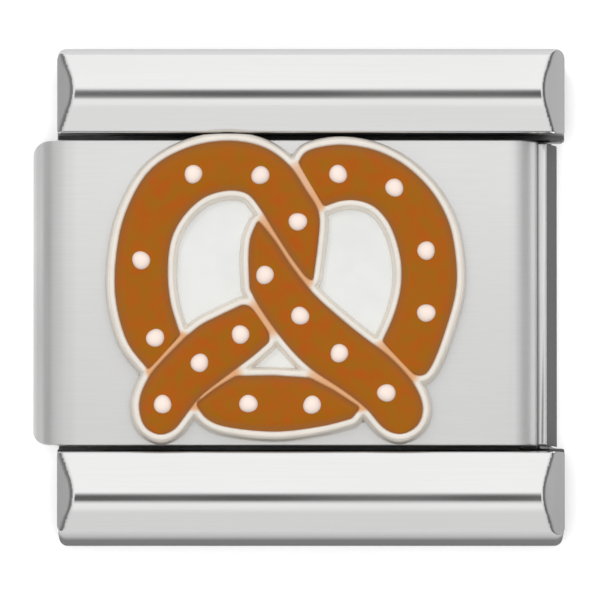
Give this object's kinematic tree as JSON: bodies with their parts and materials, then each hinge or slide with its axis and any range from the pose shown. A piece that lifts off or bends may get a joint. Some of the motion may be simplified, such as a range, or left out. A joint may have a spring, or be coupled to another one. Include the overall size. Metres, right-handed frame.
{
  "type": "modular charm bracelet link with enamel pretzel emblem",
  "caption": "Rectangular steel link for a modular charm bracelet, with ridged side rails, a spring-loaded hook plate and a raised enamel pretzel emblem on its face.",
  "frame": {"origin": "under the middle of the back, on the plane the link lies on", "axes": "+Z out of the emblem's face, +X towards the hook, +Y up the emblem"},
  "size_m": [0.0094, 0.0086, 0.004],
  "materials": {
    "face_steel": "satin, fine grain",
    "rail_steel": "polished steel",
    "hook_steel": "satin",
    "spring_steel": "plain strip steel",
    "plaque_metal": "polished, warm silver",
    "brown_enamel": "glossy enamel, slightly mottled",
    "white_enamel": "glossy enamel"
  },
  "bodies": {
    "link_body": {"face_sleeve": "face_steel", "back_sleeve": "face_steel", "upper_rail": "rail_steel", "lower_rail": "rail_steel", "face_leaf_spring": "spring_steel", "back_leaf_spring": "spring_steel", "upper_wave_spring": "spring_steel", "lower_wave_spring": "spring_steel", "charm_plaque": "plaque_metal", "enamel_white_left": "white_enamel", "enamel_white_middle": "white_enamel", "enamel_white_right": "white_enamel", "enamel_left_loop": "brown_enamel", "enamel_right_loop": "brown_enamel", "enamel_right_arm": "brown_enamel", "enamel_left_arm": "brown_enamel", "enamel_bottom_bow": "brown_enamel", "salt_01": "white_enamel", "salt_02": "white_enamel", "salt_03": "white_enamel", "salt_04": "white_enamel", "salt_05": "white_enamel", "salt_06": "white_enamel", "salt_07": "white_enamel", "salt_08": "white_enamel", "salt_09": "white_enamel", "salt_10": "white_enamel", "salt_11": "white_enamel", "salt_12": "white_enamel", "salt_13": "white_enamel", "salt_14": "white_enamel", "salt_15": "white_enamel", "salt_16": "white_enamel", "salt_17": "white_enamel", "salt_18": "white_enamel"},
    "hook": {"hook_plate": "hook_steel"}
  },
  "joints": [
    {"name": "hook_slide", "type": "slide", "parent": "link_body", "child": "hook", "axis": [1, 0, 0], "range_m": [0, 0.0024], "stiffness_N_per_m": 500, "deforming": ["upper_wave_spring", "lower_wave_spring"]}
  ]
}
